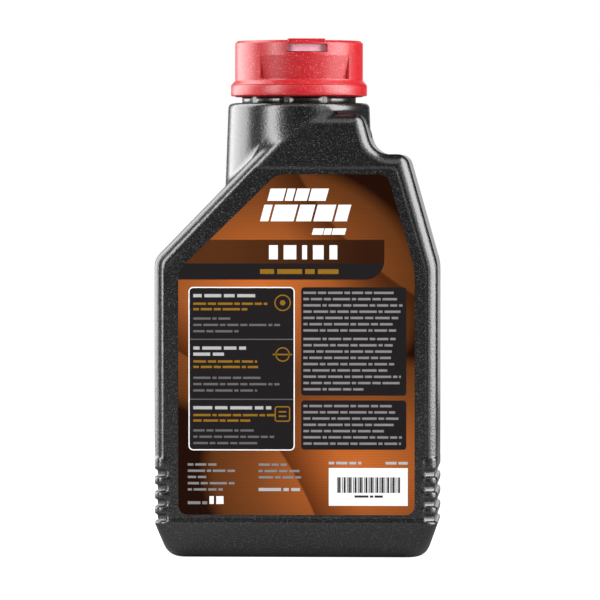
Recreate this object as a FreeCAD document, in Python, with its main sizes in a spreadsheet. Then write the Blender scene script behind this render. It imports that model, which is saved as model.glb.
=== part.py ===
import FreeCAD, Part
import math
import os
import Sketcher
from FreeCAD import Placement, Rotation, Vector

# A one-litre oil bottle: a blow-moulded flat bottle with a round neck set to one side of its
# sloping shoulders, a printed label on one face, and a screw cap over a break-off band.
# Millimetres. Z is up, the base stands on Z = 0, the labelled face looks along -Y.

doc = FreeCAD.newDocument("oil_bottle")

# Driving dimensions

DIMENSIONS = [
    ("half_width", 58.3, "side face from the middle plane"),
    ("half_depth", 30.3, "front face from the middle plane"),
    ("rim_radius", 4.2, "rounding between side and front"),
    ("wall", 1.0, "wall of the blown bottle"),
    ("inner_bevel", 2.0, "bevel along the edges of the hollow"),
    ("inner_corner", 9.0, "upright corners of the hollow in the foot"),
    ("shoulder_wall", 1.6, "wall over the round neck"),
    ("foot_height", 14.5, "where the sides start to draw in"),
    ("foot_inset", 5.3, "how far the base is drawn in"),
    ("foot_corner", 6.0, "rounding between two sides of the foot"),
    ("foot_bevel", 2.5, "bevel under the base edge"),
    ("push_up", 1.5, "hollow under the base"),
    ("stand_width", 8.5, "rim that the bottle stands on, with its bevel"),
    ("left_shoulder", 122.7, "height where the long slope starts"),
    ("left_round", 8.0, "rounding there"),
    ("ridge_across", -9.7, "where the long slope eases, across"),
    ("ridge_up", 172.6, "where the long slope eases, height"),
    ("ridge_round", 25.0, "rounding there"),
    ("crest_left", 3.9, "start of the crest in front of the neck"),
    ("crest_up", 182.5, "height of the crest"),
    ("crest_left_round", 8.0, "rounding at its start"),
    ("crest_right", 27.2, "end of the crest"),
    ("crest_right_round", 5.0, "rounding at its end"),
    ("hollow_across", 31.8, "foot of the steep side of the neck"),
    ("hollow_round", 8.5, "hollow there"),
    ("ledge_up", 165.9, "height of the short right shoulder"),
    ("ledge_right", 45.4, "outer end of the right shoulder"),
    ("ledge_round", 5.0, "rounding there"),
    ("right_shoulder", 120.3, "height where the right slope starts"),
    ("right_round", 20.0, "rounding there"),
    ("neck_set_back", 1.05, "neck in from the front face, at its top"),
    ("neck_flare", 1.35, "how much wider the neck gets down to the body"),
    ("neck_bottom", 150.0, "lower end of the round neck"),
    ("neck_top", 187.1, "top of the round neck"),
    ("neck_round", 2.0, "easing of its top edge"),
    ("finish_radius", 22.0, "threaded tube of the mouth"),
    ("mouth_wall", 1.6, "wall of that tube"),
    ("mouth_height", 21.1, "lip of the mouth above the neck"),
    ("collar_step", 1.0, "collar out from the tube"),
    ("collar_height", 3.5, "collar above the neck"),
    ("lug_height", 3.2, "raised lugs on the collar"),
    ("lug_root", 0.5, "how far a lug reaches into the collar"),
    ("lug_proud", 0.6, "how far the lugs stand out"),
    ("lug_half_angle", 15.0, "half of a lug, seen from above"),
    ("lug_count", 9, "lugs round the collar"),
    ("bead_step", 2.9, "bead that keeps the band down, out from the tube"),
    ("bead_height", 1.8, "bead above the collar"),
    ("recess_inset", 4.6, "panel for the label, in from the sides"),
    ("recess_depth", 0.5, "depth of that panel"),
    ("recess_bottom", 15.6, "lower edge of the panel"),
    ("recess_top", 160.4, "upper edge of the panel"),
    ("recess_round", 3.0, "corners of the panel"),
    ("panel_left_up", 119.6, "left slope of the panel, lower end"),
    ("panel_top_left", -16.5, "left slope of the panel, upper end"),
    ("panel_right_up", 118.5, "right slope of the panel, lower end"),
    ("panel_top_right", 41.2, "right slope of the panel, upper end"),
    ("groove_count", 4, "grooves on a side, each under a rib"),
    ("grip_pitch", 6.1, "from one finger rib to the next"),
    ("grip_bottom", 15.2, "underside of the lowest groove"),
    ("groove_height", 2.9, "height of a groove"),
    ("groove_depth", 1.25, "depth of a groove"),
    ("rib_inset", 6.2, "inner end of a rib, in from the side"),
    ("rib_round", 1.6, "corner of a rib"),
    ("block_height", 5.1, "taller rib at the top"),
    ("label_left", -48.2, "left edge of the label"),
    ("label_right", 48.8, "right edge of the label"),
    ("label_bottom", 18.0, "lower edge of the label"),
    ("label_top", 157.65, "upper edge of the label"),
    ("label_left_up", 118.2, "left slope of the label, lower end"),
    ("label_top_left", -7.8, "left slope of the label, upper end"),
    ("label_top_right", 37.6, "right slope of the label, upper end"),
    ("label_right_up", 119.3, "right slope of the label, lower end"),
    ("label_corner", 3.7, "lower corners of the label"),
    ("label_thick", 0.15, "thickness of the label"),
    ("cap_thick", 1.6, "top plate of the cap"),
    ("thread_room", 1.7, "room for the thread between mouth and cap"),
    ("cap_wall", 2.8, "wall of the cap above its skirt"),
    ("cap_bevel", 1.0, "bevel of its top edge"),
    ("skirt_step", 1.7, "skirt of the cap and of the band, out from that wall"),
    ("skirt_height", 2.1, "sloping skirt above the band"),
    ("break_gap", 0.25, "break line between cap and band"),
    ("band_height", 4.8, "break-off band"),
    ("band_clear", 2.4, "underside of the band above the neck"),
    ("band_wall", 1.3, "wall of the band"),
    ("hook_back", 0.55, "inner lip of the band, in from its wall"),
    ("hook_under", 0.8, "how far the lip reaches under the bead"),
    ("hook_drop", 0.85, "inner lip below the band"),
    ("grip_angle", 88.0, "hollow grip face, seen from above"),
    ("grip_sink", 1.8, "depth of the grip face at its foot"),
    ("grip_foot", 0.5, "foot of the grip face above the skirt"),
    ("grip_head", 5.6, "head of the grip face below the top"),
    ("grip_fade", 0.1, "how far outside the cap the grip face runs out"),
    ("window_half", 8.5, "half the width of a window"),
    ("window_sill", 0.3, "lower edge of a window below the lip of the mouth"),
    ("bar_half", 7.55, "half the width of the bar over a window"),
    ("bar_set_back", 0.8, "outer face of the bar, in from the cap's wall"),
    ("bar_long", 4.3, "how far the bar reaches in"),
    ("bar_deep", 1.2, "height of the bar"),
    ("bar_proud", 0.6, "how far the bar stands above the top"),
    ("cap_turned", 10.0, "where the windows stop when the cap is tight"),
    ("seal_play", 0.2, "play of the seal disc inside the cap"),
    ("plug_play", 0.05, "play of the plug in the mouth"),
    ("seal_disc", 3.0, "seal between the lip and the top plate"),
    ("seal_web", 1.8, "thickness of the seal over the plug"),
    ("plug_wall", 1.2, "wall of the plug"),
    ("plug_reach", 4.0, "how far the plug reaches into the mouth"),
    ("overshoot", 3.0, "how far a cut runs past the surface it starts from"),
]

# A rounding drawn as two bevels meets the true arc at its ends and near its middle.
EASE = 0.3

sheet = doc.addObject("Spreadsheet::Sheet", "Dimensions")
size = {}
for row, (name, number, note) in enumerate(DIMENSIONS, start=1):
    sheet.set("A%d" % row, name)
    sheet.set("B%d" % row, str(number))
    sheet.set("C%d" % row, note)
    sheet.setAlias("B%d" % row, name)
    size[name] = number
doc.recompute()
GROOVES = int(size["groove_count"])


# Helpers for sketches and bodies

def number(terms):
    """A coordinate is a sum of (factor, name) terms; a name of None counts as one."""
    total = 0.0
    for factor, name in terms:
        total += factor * (1.0 if name is None else size[name])
    return total


def formula(terms):
    parts = []
    for factor, name in terms:
        if name is None:
            parts.append("(%r)" % factor)
        else:
            parts.append("(%r) * Dimensions.%s" % (factor, name))
    return " + ".join(parts)


def at(*names):
    """Terms from names: a leading minus turns a name round, a number stands for itself."""
    terms = []
    for name in names:
        if isinstance(name, (int, float)):
            terms.append((float(name), None))
        elif name.startswith("-"):
            terms.append((-1.0, name[1:]))
        else:
            terms.append((1.0, name))
    return terms


def turned(terms):
    return [(-factor, name) for factor, name in terms]


NECK_RADIUS = at("half_depth", "-neck_set_back")
NECK_FOOT = NECK_RADIUS + at("neck_flare")
COLLAR_TOP = at("neck_top", "collar_height")
BEAD_TOP = COLLAR_TOP + at("bead_height")
LIP = at("neck_top", "mouth_height")
BAND_BOTTOM = at("neck_top", "band_clear")
BAND_TOP = BAND_BOTTOM + at("band_height")
SKIRT_TOP = BAND_TOP + at("skirt_height")
PLATE = LIP + at("seal_disc")
CAP_TOP = PLATE + at("cap_thick")

MOUTH_BORE = at("finish_radius", "-mouth_wall")
COLLAR = at("finish_radius", "collar_step")
BEAD = at("finish_radius", "bead_step")
CAP_BORE = at("finish_radius", "thread_room")
CAP_SIDE = CAP_BORE + at("cap_wall")
SKIRT = CAP_SIDE + at("skirt_step")
BAND_BORE = SKIRT + at("-band_wall")
HOOK_BORE = BEAD + at("-hook_under")
BAR_FRONT = CAP_SIDE + at("-bar_set_back")
BAR_BACK = BAR_FRONT + at("-bar_long")


def new_body(name):
    body = doc.addObject("PartDesign::Body", name)
    body.Label = name
    return body


def origin_part(body, role):
    for item in body.Origin.OriginFeatures:
        if item.Role == role:
            return item
    raise ValueError("no origin part called " + role)


def new_sketch(body, name, role, lift=None):
    """A sketch on an origin plane, lifted along the plane's own normal."""
    sketch = body.newObject("Sketcher::SketchObject", name)
    sketch.AttachmentSupport = [(origin_part(body, role), "")]
    sketch.MapMode = "FlatFace"
    if lift is not None:
        sketch.AttachmentOffset = Placement(Vector(0, 0, number(lift)), Rotation())
        sketch.setExpression("AttachmentOffset.Base.z", formula(lift))
    return sketch


def place_point(sketch, geometry, point, across, up):
    for kind, terms in (("DistanceX", across), ("DistanceY", up)):
        index = sketch.addConstraint(
            Sketcher.Constraint(kind, -1, 1, geometry, point, number(terms)))
        sketch.setExpression("Constraints[%d]" % index, formula(terms))


def outline(sketch, corners):
    """A closed outline of straight runs; a corner with a radius is rounded by a tangent arc."""
    points = [Vector(number(across), number(up), 0) for across, up, _ in corners]
    count = len(corners)
    starts = []
    ends = []
    arcs = []
    for i, (_, _, radius) in enumerate(corners):
        here = points[i]
        back = (points[i - 1] - here).normalize()
        ahead = (points[(i + 1) % count] - here).normalize()
        if radius is None:
            starts.append(here)
            ends.append(here)
            arcs.append(None)
            continue
        half = back.getAngle(ahead) / 2.0
        reach = size[radius] / math.tan(half)
        centre = here + (back + ahead).normalize() * (size[radius] / math.sin(half))
        starts.append(here + back * reach)
        ends.append(here + ahead * reach)
        arcs.append((centre, size[radius]))
    lines = []
    for i in range(count):
        run = Part.LineSegment(ends[i], starts[(i + 1) % count])
        lines.append(sketch.addGeometry(run, False))
    for i, (across, up, radius) in enumerate(corners):
        before = lines[i - 1]
        after = lines[i]
        if radius is None:
            sketch.addConstraint(Sketcher.Constraint("Coincident", before, 2, after, 1))
            place_point(sketch, after, 1, across, up)
            continue
        centre, length = arcs[i]
        first = starts[i] - centre
        last = ends[i] - centre
        turn = first.cross(last).z
        if turn > 0:
            begin, finish, near, far = first, last, 1, 2
        else:
            begin, finish, near, far = last, first, 2, 1
        arc = sketch.addGeometry(
            Part.ArcOfCircle(
                Part.Circle(centre, Vector(0, 0, 1), length),
                math.atan2(begin.y, begin.x),
                math.atan2(finish.y, finish.x)),
            False)
        corner = sketch.addGeometry(Part.Point(points[i]), True)
        sketch.addConstraint(Sketcher.Constraint("Tangent", before, 2, arc, near))
        sketch.addConstraint(Sketcher.Constraint("Tangent", arc, far, after, 1))
        sketch.addConstraint(Sketcher.Constraint("PointOnObject", corner, 1, before))
        sketch.addConstraint(Sketcher.Constraint("PointOnObject", corner, 1, after))
        place_point(sketch, corner, 1, across, up)
        index = sketch.addConstraint(Sketcher.Constraint("Radius", arc, length))
        sketch.setExpression("Constraints[%d]" % index, "Dimensions." + radius)


def rectangle(sketch, left, right, bottom, top, radius=None):
    outline(sketch, [
        (left, bottom, radius),
        (right, bottom, radius),
        (right, top, radius),
        (left, top, radius),
    ])


def pad(body, name, sketch, length, midplane=False):
    feature = body.newObject("PartDesign::Pad", name)
    feature.Profile = sketch
    feature.Length = number(length)
    feature.setExpression("Length", formula(length))
    feature.Midplane = midplane
    sketch.Visibility = False
    return feature


def pocket(body, name, sketch, length, midplane=False, reverse=False):
    feature = body.newObject("PartDesign::Pocket", name)
    feature.Profile = sketch
    feature.Length = number(length)
    feature.setExpression("Length", formula(length))
    feature.Midplane = midplane
    feature.Reversed = reverse
    sketch.Visibility = False
    return feature


def revolve(body, name, sketch):
    feature = body.newObject("PartDesign::Revolution", name)
    feature.Profile = sketch
    feature.ReferenceAxis = (sketch, ["V_Axis"])
    feature.Angle = 360.0
    sketch.Visibility = False
    return feature


def upward_pattern(body, name, feature, count, step):
    pattern = body.newObject("PartDesign::LinearPattern", name)
    pattern.Originals = [feature]
    pattern.Direction = (origin_part(body, "Z_Axis"), [""])
    pattern.Mode = "Spacing"
    pattern.Offset = number(step)
    pattern.setExpression("Offset", formula(step))
    pattern.Occurrences = count
    body.Tip = pattern
    return pattern


def treat_edges(body, kind, name, base, chosen, measure):
    """A Fillet or a Chamfer on the chosen edges; both keep their measure under another name."""
    feature = body.newObject("PartDesign::" + kind, name)
    names = []
    for i, edge in enumerate(base.Shape.Edges, start=1):
        if chosen(edge):
            names.append("Edge%d" % i)
    feature.Base = (base, names)
    slot = {"Fillet": "Radius", "Chamfer": "Size"}[kind]
    setattr(feature, slot, size[measure])
    feature.setExpression(slot, "Dimensions." + measure)
    return feature


# Outside of the bottle: the flat body and its drawn-in foot

outside = new_body("bottle_outside")

slab_outline = new_sketch(outside, "slab_outline", "XZ_Plane")
outline(slab_outline, [
    (at("-half_width"), at(0), None),
    (at("-half_width"), at("left_shoulder"), "left_round"),
    (at("ridge_across"), at("ridge_up"), "ridge_round"),
    (at("crest_left"), at("crest_up"), "crest_left_round"),
    (at("crest_right"), at("crest_up"), "crest_right_round"),
    (at("hollow_across"), at("ledge_up"), "hollow_round"),
    (at("ledge_right"), at("ledge_up"), "ledge_round"),
    (at("half_width"), at("right_shoulder"), "right_round"),
    (at("half_width"), at(0), None),
])
slab = pad(outside, "slab", slab_outline, [(2.0, "half_depth")], midplane=True)
doc.recompute()


def on_front_or_back(edge):
    """An edge of the slab's front or back face, apart from the one it stands on."""
    middle = edge.valueAt((edge.FirstParameter + edge.LastParameter) / 2.0)
    return abs(abs(middle.y) - size["half_depth"]) < 0.01 and middle.z > 0.01


treat_edges(outside, "Fillet", "rim", slab, on_front_or_back, "rim_radius")
doc.recompute()


def slanting_cut(name, role, half, length):
    """Draws one pair of faces in towards the base, and returns the cut."""
    sketch = new_sketch(outside, name + "_outline", role)
    for plus, minus in (("", "-"), ("-", "")):
        outline(sketch, [
            (at(plus + half, minus + "foot_inset"), at(0), None),
            (at(plus + half), at("foot_height"), None),
            (at(plus + half, plus + "overshoot"), at("foot_height"), None),
            (at(plus + half, plus + "overshoot"), at(0), None),
        ])
    return pocket(outside, name, sketch, [(2.0, length)], midplane=True)


slanting_cut("foot_sides", "XZ_Plane", "half_width", "half_depth")
doc.recompute()
foot_faces = slanting_cut("foot_faces", "YZ_Plane", "half_depth", "half_width")
doc.recompute()


def between_foot_faces(edge):
    """A slanting edge where two drawn-in faces of the foot meet."""
    low, high = sorted(edge.Vertexes, key=lambda v: v.Z)
    run = high.Point - low.Point
    return low.Z < 0.01 and min(abs(run.x), abs(run.y), run.z) > 1.0


def under_the_base(edge):
    return all(abs(v.Z) < 0.01 for v in edge.Vertexes)


foot_corners = treat_edges(
    outside, "Fillet", "foot_corners", foot_faces, between_foot_faces, "foot_corner")
doc.recompute()
treat_edges(outside, "Chamfer", "foot_edge", foot_corners, under_the_base, "foot_bevel")
doc.recompute()

stand = new_sketch(outside, "stand", "XY_Plane")
rectangle(stand,
          at("-half_width", "foot_inset", "stand_width"),
          at("half_width", "-foot_inset", "-stand_width"),
          at("-half_depth", "foot_inset", "stand_width"),
          at("half_depth", "-foot_inset", "-stand_width"))
pocket(outside, "base_hollow", stand, at("push_up"), reverse=True)
doc.recompute()

# Outside of the bottle: the round neck, its collar and the tube of the mouth

neck_profile = new_sketch(outside, "neck_profile", "XZ_Plane")
outline(neck_profile, [
    (at(0), at("neck_bottom"), None),
    (NECK_FOOT, at("neck_bottom"), None),
    (NECK_RADIUS, at("neck_top", "-neck_round"), None),
    (NECK_RADIUS + [(-EASE, "neck_round")], at("neck_top") + [(-EASE, "neck_round")], None),
    (NECK_RADIUS + at("-neck_round"), at("neck_top"), None),
    (COLLAR, at("neck_top"), None),
    (COLLAR, COLLAR_TOP, None),
    (BEAD, COLLAR_TOP, None),
    (at("finish_radius"), BEAD_TOP, None),
    (at("finish_radius"), LIP, None),
    (at(0), LIP, None),
])
neck = revolve(outside, "neck", neck_profile)
doc.recompute()

lug_sketch = new_sketch(outside, "lug_sketch", "XY_Plane", at("neck_top"))
LUG_REACHES = (COLLAR + at("-lug_root"), COLLAR + at("lug_proud"))
lug_inner, lug_outer = (number(terms) for terms in LUG_REACHES)
lug_half = math.radians(size["lug_half_angle"])
lug_arcs = []
for reach in (lug_inner, lug_outer):
    lug_arcs.append(lug_sketch.addGeometry(
        Part.ArcOfCircle(
            Part.Circle(Vector(0, 0, 0), Vector(0, 0, 1), reach), -lug_half, lug_half),
        False))
lug_sides = []
for side in (-1, 1):
    direction = Vector(math.cos(lug_half), side * math.sin(lug_half), 0)
    lug_sides.append(lug_sketch.addGeometry(
        Part.LineSegment(direction * lug_inner, direction * lug_outer), False))
for line, end in zip(lug_sides, (1, 2)):
    lug_sketch.addConstraint(Sketcher.Constraint("Coincident", line, 1, lug_arcs[0], end))
    lug_sketch.addConstraint(Sketcher.Constraint("Coincident", line, 2, lug_arcs[1], end))
for arc, terms in zip(lug_arcs, LUG_REACHES):
    lug_sketch.addConstraint(Sketcher.Constraint("Coincident", arc, 3, -1, 1))
    radius_index = lug_sketch.addConstraint(Sketcher.Constraint("Radius", arc, number(terms)))
    lug_sketch.setExpression("Constraints[%d]" % radius_index, formula(terms))
for line, sign in zip(lug_sides, (-1, 1)):
    lug_sketch.addConstraint(Sketcher.Constraint("PointOnObject", -1, 1, line))
    angle_index = lug_sketch.addConstraint(
        Sketcher.Constraint("Angle", line, sign * lug_half))
    lug_sketch.setExpression(
        "Constraints[%d]" % angle_index, "%d * Dimensions.lug_half_angle * 1 deg" % sign)
lug = pad(outside, "lug", lug_sketch, at("lug_height"))
lugs = outside.newObject("PartDesign::PolarPattern", "lugs")
lugs.Originals = [lug]
lugs.Axis = (origin_part(outside, "Z_Axis"), [""])
lugs.Angle = 360.0
lugs.Occurrences = int(size["lug_count"])
lugs.setExpression("Occurrences", "Dimensions.lug_count")
outside.Tip = lugs
doc.recompute()

# Outside of the bottle: a sunk panel for a label on both faces

panel_sketch = new_sketch(outside, "panel_outline", "XZ_Plane", at("half_depth", "overshoot"))
outline(panel_sketch, [
    (at("-half_width", "recess_inset"), at("recess_bottom"), "recess_round"),
    (at("-half_width", "recess_inset"), at("panel_left_up"), "left_round"),
    (at("panel_top_left"), at("recess_top"), "recess_round"),
    (at("panel_top_right"), at("recess_top"), "recess_round"),
    (at("half_width", "-recess_inset"), at("panel_right_up"), "right_round"),
    (at("half_width", "-recess_inset"), at("recess_bottom"), "recess_round"),
])
panel = pocket(outside, "front_panel", panel_sketch, at("recess_depth", "overshoot"))
panels = outside.newObject("PartDesign::Mirrored", "both_panels")
panels.Originals = [panel]
panels.MirrorPlane = (origin_part(outside, "XZ_Plane"), [""])
outside.Tip = panels
doc.recompute()

# Outside of the bottle: finger ribs low on both sides

SIDES = (("", "-"), ("-", ""))

groove_sketch = new_sketch(outside, "groove_outline", "XY_Plane", at("grip_bottom"))
for plus, minus in SIDES:
    beyond = at(plus + "half_width", plus + "overshoot")
    outline(groove_sketch, [
        (at(plus + "half_width", minus + "rib_inset"), at("-half_depth"), None),
        (at(plus + "half_width", minus + "groove_depth"), at("-half_depth", "rim_radius"), None),
        (at(plus + "half_width", minus + "groove_depth"), at("half_depth", "-rim_radius"), None),
        (at(plus + "half_width", minus + "rib_inset"), at("half_depth"), None),
        (beyond, at("half_depth"), None),
        (beyond, at("-half_depth"), None),
    ])
groove = pocket(outside, "groove", groove_sketch, at("groove_height"), reverse=True)
upward_pattern(outside, "grooves", groove, GROOVES, at("grip_pitch"))
doc.recompute()

rib_sketch = new_sketch(outside, "rib_outline", "XY_Plane", at("grip_bottom", "groove_height"))
block_sketch = new_sketch(outside, "block_outline", "XY_Plane",
                          at("grip_bottom", "groove_height") + [(GROOVES - 1.0, "grip_pitch")])
for sketch in (rib_sketch, block_sketch):
    for plus, minus in SIDES:
        outline(sketch, [
            (at(plus + "half_width", minus + "rib_inset"), at("-half_depth"), None),
            (at(plus + "half_width"), at("-half_depth"), "rib_round"),
            (at(plus + "half_width"), at("half_depth"), "rib_round"),
            (at(plus + "half_width", minus + "rib_inset"), at("half_depth"), None),
        ])
rib = pad(outside, "rib", rib_sketch, at("grip_pitch", "-groove_height"))
upward_pattern(outside, "ribs", rib, GROOVES - 1, at("grip_pitch"))
doc.recompute()
pad(outside, "top_rib", block_sketch, at("block_height"))
doc.recompute()

# Inside of the bottle, one wall in from the outside

hollow_outline = doc.addObject("Part::Offset2D", "hollow_outline")
hollow_outline.Source = slab_outline
hollow_outline.Value = -size["wall"]
hollow_outline.setExpression("Value", "-Dimensions.wall")
hollow_block = doc.addObject("Part::Extrusion", "hollow_block")
hollow_block.Base = hollow_outline
hollow_block.DirMode = "Custom"
hollow_block.Dir = Vector(0, 1, 0)
hollow_block.Symmetric = True
hollow_block.Solid = True
inner_depth = [(2.0, "half_depth"), (-2.0, "recess_depth"), (-2.0, "wall")]
hollow_block.LengthFwd = number(inner_depth)
hollow_block.setExpression("LengthFwd", formula(inner_depth))
doc.recompute()

hollow_bevelled = doc.addObject("Part::Chamfer", "hollow_bevelled")
hollow_bevelled.Base = hollow_block
inner_half = number(inner_depth) / 2.0
hollow_edges = []
for index, edge in enumerate(hollow_block.Shape.Edges, start=1):
    middle = edge.valueAt((edge.FirstParameter + edge.LastParameter) / 2.0)
    if abs(abs(middle.y) - inner_half) < 0.01 and middle.z > size["foot_height"]:
        hollow_edges.append((index, size["inner_bevel"], size["inner_bevel"]))
hollow_bevelled.Edges = hollow_edges
doc.recompute()

GRIP_ZONE = at("grip_bottom", "block_height") + [(float(GROOVES), "grip_pitch")]
above_grips = doc.addObject("Part::Box", "above_grips")
for side, terms in (("Length", [(2.0, "half_width")]), ("Width", [(2.0, "half_depth")]),
                    ("Height", LIP)):
    setattr(above_grips, side, number(terms))
    above_grips.setExpression(side, formula(terms))
above_grips.Placement = Placement(
    Vector(-size["half_width"], -size["half_depth"], number(GRIP_ZONE)), Rotation())
above_grips.setExpression("Placement.Base.x", "-Dimensions.half_width")
above_grips.setExpression("Placement.Base.y", "-Dimensions.half_depth")
above_grips.setExpression("Placement.Base.z", formula(GRIP_ZONE))
upper_hollow = doc.addObject("Part::MultiCommon", "upper_hollow")
upper_hollow.Shapes = [hollow_bevelled, above_grips]

lower_hollow = new_body("lower_hollow")
wide = at("half_width", "-groove_depth", "-wall")
deep = at("half_depth", "-recess_depth", "-wall")


floor_sketch = new_sketch(lower_hollow, "floor", "XY_Plane", at("push_up", "wall"))
narrow_wide = wide + at("-foot_inset")
narrow_deep = deep + at("-foot_inset")
rectangle(floor_sketch, turned(narrow_wide), narrow_wide,
          turned(narrow_deep), narrow_deep, "inner_corner")
waist_sketch = new_sketch(lower_hollow, "waist", "XY_Plane", at("foot_height"))
rectangle(waist_sketch, turned(wide), wide, turned(deep), deep, "inner_corner")
lower_loft = lower_hollow.newObject("PartDesign::AdditiveLoft", "lower_loft")
lower_loft.Profile = floor_sketch
lower_loft.Sections = [waist_sketch]
lower_loft.Ruled = True
doc.recompute()
grip_hollow_sketch = new_sketch(lower_hollow, "grip_hollow_outline", "XY_Plane",
                                at("foot_height"))
rectangle(grip_hollow_sketch, turned(wide), wide, turned(deep), deep, "inner_corner")
pad(lower_hollow, "grip_hollow", grip_hollow_sketch,
    GRIP_ZONE + at("-foot_height", "wall"))
doc.recompute()

neck_hollow = new_body("neck_hollow")
bore_profile = new_sketch(neck_hollow, "bore_profile", "XZ_Plane")
outline(bore_profile, [
    (at(0), at("neck_bottom"), None),
    (NECK_RADIUS + at("-wall"), at("neck_bottom"), None),
    (NECK_RADIUS + at("-wall"), at("neck_top", "-shoulder_wall"), None),
    (MOUTH_BORE, at("neck_top", "-shoulder_wall"), None),
    (MOUTH_BORE, LIP + at("overshoot"), None),
    (at(0), LIP + at("overshoot"), None),
])
revolve(neck_hollow, "bore", bore_profile)
doc.recompute()

inside = doc.addObject("Part::MultiFuse", "bottle_inside")
inside.Shapes = [upper_hollow, lower_hollow, neck_hollow]
doc.recompute()

bottle = doc.addObject("Part::Cut", "bottle")
bottle.Base = outside
bottle.Tool = inside
bottle.Label = "bottle"
doc.recompute()

# Label: a thin printed skin in the front panel

back_label = new_body("back_label")
label_sketch = new_sketch(back_label, "label_outline", "XZ_Plane",
                          at("half_depth", "-recess_depth"))
outline(label_sketch, [
    (at("label_left"), at("label_bottom"), "label_corner"),
    (at("label_left"), at("label_left_up"), "left_round"),
    (at("label_top_left"), at("label_top"), "left_round"),
    (at("label_top_right"), at("label_top"), "ledge_round"),
    (at("label_right"), at("label_right_up"), "right_round"),
    (at("label_right"), at("label_bottom"), "label_corner"),
])
pad(back_label, "label_skin", label_sketch, at("label_thick"))

# Cap: a red shell with two hollow grip faces, two windows and a bar over each window

cap = new_body("cap")
cap_profile = new_sketch(cap, "cap_profile", "XZ_Plane")
outline(cap_profile, [
    (CAP_BORE, BAND_TOP + at("break_gap"), None),
    (SKIRT, BAND_TOP + at("break_gap"), None),
    (CAP_SIDE, SKIRT_TOP, None),
    (CAP_SIDE, CAP_TOP + at("-cap_bevel"), None),
    (CAP_SIDE + at("-cap_bevel"), CAP_TOP, None),
    (at(0), CAP_TOP, None),
    (at(0), PLATE, None),
    (CAP_BORE, PLATE, None),
])
revolve(cap, "shell", cap_profile)
doc.recompute()

grip_profile = new_sketch(cap, "grip_profile", "YZ_Plane")
outline(grip_profile, [
    (turned(CAP_SIDE) + at("-overshoot"), SKIRT_TOP + at("grip_foot"), None),
    (turned(CAP_SIDE) + at("grip_sink"), SKIRT_TOP + at("grip_foot"), None),
    (turned(CAP_SIDE) + at("-grip_fade"), CAP_TOP + at("-grip_head"), None),
    (turned(CAP_SIDE) + at("-overshoot"), CAP_TOP + at("-grip_head"), None),
])
grip_face = cap.newObject("PartDesign::Groove", "grip_face")
grip_face.Profile = grip_profile
grip_face.ReferenceAxis = (grip_profile, ["V_Axis"])
grip_face.Angle = size["grip_angle"]
grip_face.setExpression("Angle", "Dimensions.grip_angle * 1 deg")
grip_face.Midplane = True
grip_profile.Visibility = False
grip_faces = cap.newObject("PartDesign::PolarPattern", "grip_faces")
grip_faces.Originals = [grip_face]
grip_faces.Axis = (origin_part(cap, "Z_Axis"), [""])
grip_faces.Angle = 360.0
grip_faces.Occurrences = 2
cap.Tip = grip_faces
doc.recompute()

window_sketch = new_sketch(cap, "window_outline", "XZ_Plane")
rectangle(window_sketch, at("-window_half"), at("window_half"),
          LIP + at("-window_sill"), PLATE)
pocket(cap, "windows", window_sketch, SKIRT + SKIRT, midplane=True)
doc.recompute()

bar_sketch = new_sketch(cap, "bar_outline", "XY_Plane", CAP_TOP + at("bar_proud", "-bar_deep"))
rectangle(bar_sketch, at("-bar_half"), at("bar_half"), turned(BAR_FRONT), turned(BAR_BACK))
rectangle(bar_sketch, at("-bar_half"), at("bar_half"), BAR_BACK, BAR_FRONT)
pad(cap, "bars", bar_sketch, at("bar_deep"))
cap.Placement = Placement(Vector(0, 0, 0), Rotation(Vector(0, 0, 1), size["cap_turned"]))
doc.recompute()

# Inner seal: a pale disc with a plug that fits into the mouth

inner_seal = new_body("inner_seal")
seal_profile = new_sketch(inner_seal, "seal_profile", "XZ_Plane")
outline(seal_profile, [
    (at(0), PLATE + at("-seal_web"), None),
    (MOUTH_BORE + at("-plug_play", "-plug_wall"), PLATE + at("-seal_web"), None),
    (MOUTH_BORE + at("-plug_play", "-plug_wall"), LIP + at("-plug_reach"), None),
    (MOUTH_BORE + at("-plug_play"), LIP + at("-plug_reach"), None),
    (MOUTH_BORE + at("-plug_play"), LIP, None),
    (CAP_BORE + at("-seal_play"), LIP, None),
    (CAP_BORE + at("-seal_play"), PLATE, None),
    (at(0), PLATE, None),
])
revolve(inner_seal, "seal_disc", seal_profile)

# Break-off band: stays on the neck, hooked under the bead, when the cap is turned off

tamper_band = new_body("tamper_band")
band_profile = new_sketch(tamper_band, "band_profile", "XZ_Plane")
outline(band_profile, [
    (HOOK_BORE, BAND_BOTTOM + at("-hook_drop"), None),
    (BAND_BORE + at("-hook_back"), BAND_BOTTOM + at("-hook_drop"), None),
    (BAND_BORE + at("-hook_back"), BAND_BOTTOM, None),
    (SKIRT, BAND_BOTTOM, None),
    (SKIRT, BAND_TOP, None),
    (BAND_BORE, BAND_TOP, None),
    (BAND_BORE, COLLAR_TOP, None),
    (HOOK_BORE, COLLAR_TOP, None),
])
revolve(tamper_band, "band_ring", band_profile)
doc.recompute()

# Checks and export

NODES = [bottle, back_label, cap, inner_seal, tamper_band]

for item in doc.Objects:
    if "Invalid" in item.State or "Error" in item.State:
        raise RuntimeError("%s did not build: %s" % (item.Name, item.State))
for node in NODES:
    if node.Shape.isNull() or not node.Shape.isValid():
        raise RuntimeError("%s has no sound shape" % node.Label)

os.makedirs("parts", exist_ok=True)
for node in NODES:
    node.Shape.exportStep("parts/%s.step" % node.Label)
    print("%-12s %9.1f mm3, solids %d" % (node.Label, node.Shape.Volume, len(node.Shape.Solids)))
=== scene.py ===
"""Looks of a one-litre oil bottle: grained black body, printed label, red cap.

Lengths in the tables are millimetres; every vertex is written in metres, in the frame of the
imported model. Z is up, the labelled face looks along -Y.
"""

import functools
import math

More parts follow.
